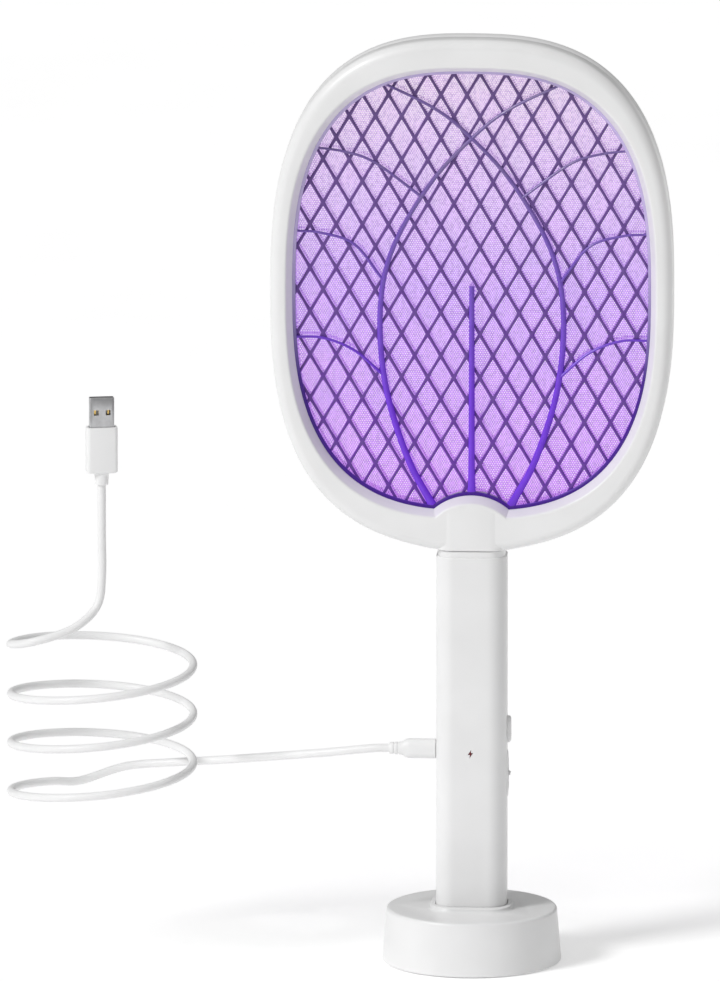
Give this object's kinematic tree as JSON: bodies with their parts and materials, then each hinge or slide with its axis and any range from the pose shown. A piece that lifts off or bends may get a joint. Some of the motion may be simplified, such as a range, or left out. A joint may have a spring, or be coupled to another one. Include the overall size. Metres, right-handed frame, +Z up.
{
  "type": "electric fly swatter",
  "caption": "Handheld electric swatter with a lit mesh head, standing in a round weighted base with its charging cable plugged in.",
  "frame": {"origin": "centre of the base's underside, on the table", "axes": "+Z up along the handle, -Y out of the swatter's front, +X towards the push button"},
  "size_m": [0.325, 0.0939, 0.4582],
  "materials": {
    "white_plastic": "satin white ABS",
    "cable_white": "soft white PVC",
    "grey_plastic": "satin grey insulator",
    "violet_plastic": "violet, lit by the lamps",
    "mesh_metal": "expanded metal sheet, lit violet by the lamps",
    "uv_lens": "clear lamp body, violet light",
    "steel": "nickel plated",
    "iron_weight": "bare casting",
    "foot_rubber": "soft foam rubber",
    "cell_wrap": "shrink sleeve",
    "circuit_board": "green solder mask",
    "ferrite": "sintered",
    "winding_tape": "polyester tape",
    "film_capacitor": "dipped epoxy",
    "switch_black": "moulded",
    "contact_gold": "gold plated",
    "lens_red": "clear red",
    "led_body": "clear",
    "lead_red": "PVC insulation",
    "lead_black": "PVC insulation",
    "lead_white": "PVC insulation"
  },
  "bodies": {
    "base": {"base_shell": "white_plastic", "base_weight": "iron_weight", "base_bottom_plate": "white_plastic", "base_foot_pad": "foot_rubber", "base_screw_1": "steel", "base_screw_2": "steel", "base_screw_3": "steel"},
    "swatter": {"head_front_frame": "white_plastic", "head_rear_frame": "white_plastic", "head_screw_1": "steel", "head_screw_2": "steel", "head_screw_3": "steel", "head_screw_4": "steel", "head_screw_5": "steel", "head_screw_6": "steel", "front_rib_frame": "violet_plastic", "rear_rib_frame": "violet_plastic", "front_guard_mesh": "mesh_metal", "rear_guard_mesh": "mesh_metal", "live_mesh": "mesh_metal", "front_spacer_ring": "grey_plastic", "rear_spacer_ring": "grey_plastic", "uv_led_board": "circuit_board", "uv_led_left": "uv_lens", "uv_led_centre": "uv_lens", "uv_led_right": "uv_lens", "handle_front_shell": "white_plastic", "handle_rear_shell": "white_plastic", "handle_screw_lower": "steel", "handle_screw_upper": "steel", "battery_cell": "cell_wrap", "battery_tab_bottom": "steel", "battery_tab_top": "steel", "control_board": "circuit_board", "transformer_core": "ferrite", "transformer_coil": "winding_tape", "hv_capacitor_lower": "film_capacitor", "hv_capacitor_upper": "film_capacitor", "push_switch_body": "switch_black", "button_spring": "steel", "slide_switch_body": "switch_black", "charge_socket": "steel", "indicator_lens": "lens_red", "indicator_led": "led_body", "live_lead": "lead_red", "guard_lead": "lead_black", "lamp_lead": "lead_white"},
    "push_button": {"push_button": "white_plastic", "push_switch_plunger": "grey_plastic"},
    "slide_knob": {"slide_knob": "white_plastic"},
    "charge_cable": {"charge_plug_tip": "steel", "charge_plug_overmould": "cable_white", "charge_cable": "cable_white", "usb_overmould": "cable_white", "usb_shell": "steel", "usb_tongue": "switch_black", "usb_contact_1": "contact_gold", "usb_contact_2": "contact_gold", "usb_contact_3": "contact_gold", "usb_contact_4": "contact_gold"}
  },
  "joints": [
    {"name": "lift_from_base", "type": "slide", "parent": "base", "child": "swatter", "axis": [0, 0, 1], "range_m": [0, 0.06]},
    {"name": "button_press", "type": "slide", "parent": "swatter", "child": "push_button", "axis": [-1, 0, 0], "range_m": [0, 0.0012], "stiffness_N_per_m": 400, "springref_m": -0.001, "deforming": ["button_spring"]},
    {"name": "mode_slide", "type": "slide", "parent": "swatter", "child": "slide_knob", "axis": [0, 0, 1], "range_m": [-0.002, 0.002]},
    {"name": "unplug_cable", "type": "slide", "parent": "swatter", "child": "charge_cable", "axis": [-1, 0, 0], "range_m": [0, 0.03]}
  ]
}
